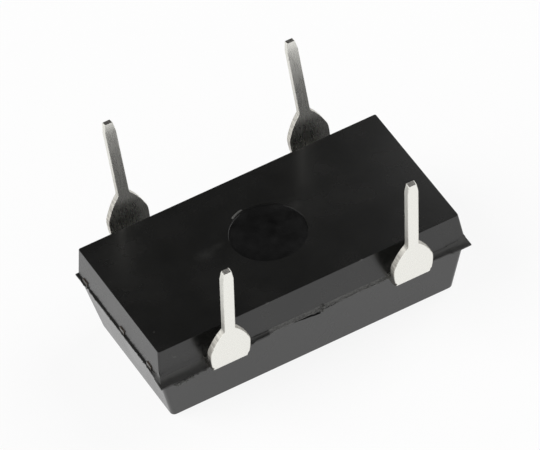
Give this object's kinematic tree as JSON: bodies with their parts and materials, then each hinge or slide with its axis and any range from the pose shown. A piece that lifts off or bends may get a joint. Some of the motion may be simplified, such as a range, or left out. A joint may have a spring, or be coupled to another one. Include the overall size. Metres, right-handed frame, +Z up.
{
  "type": "crystal oscillator",
  "caption": "Black moulded oscillator block in a half-size dual-in-line package, lying on its marking face with a splayed tinned lead near each corner pointing up.",
  "frame": {"origin": "centre of the marking face, which is the face that the part rests on", "axes": "+X along the body, away from the end with the tie bars' cut ends; +Y across it, towards leads 1 and 4; +Z up, towards the tips of the leads"},
  "size_m": [0.013, 0.0093, 0.0082],
  "materials": {
    "epoxy_compound": "fine matt grain of a spark-eroded mould",
    "tinned_metal": "satin tin plating, sheared edges slightly darker",
    "bare_copper": "bare stamped copper alloy",
    "silicon": "polished silicon",
    "silver_glue": "silver-filled epoxy, matt",
    "gold_wire": "drawn gold wire",
    "nickel_silver": "drawn nickel-silver sheet, satin",
    "stem_alloy": "nickel-iron alloy, lightly oxidised",
    "seal_glass": "blue-green sealing glass",
    "quartz": "lapped quartz",
    "silver_film": "evaporated silver"
  },
  "bodies": {
    "root": {"moulded_body": "epoxy_compound", "lead_1": "tinned_metal", "lead_4": "tinned_metal", "lead_5": "tinned_metal", "lead_8": "tinned_metal", "die_pad": "bare_copper", "crystal_post_front": "bare_copper", "crystal_post_back": "bare_copper", "oscillator_chip": "silicon", "chip_adhesive": "silver_glue", "bond_wire_enable": "gold_wire", "bond_wire_ground": "gold_wire", "bond_wire_output": "gold_wire", "bond_wire_supply": "gold_wire", "bond_wire_crystal_front": "gold_wire", "bond_wire_crystal_back": "gold_wire", "crystal_can": "nickel_silver", "stem_ring": "stem_alloy", "glass_seal": "seal_glass", "crystal_wire_front": "stem_alloy", "crystal_wire_back": "stem_alloy", "quartz_blank": "quartz", "electrode_upper": "silver_film", "electrode_lower": "silver_film", "blank_glue_front": "silver_glue", "blank_glue_back": "silver_glue"}
  },
  "joints": []
}
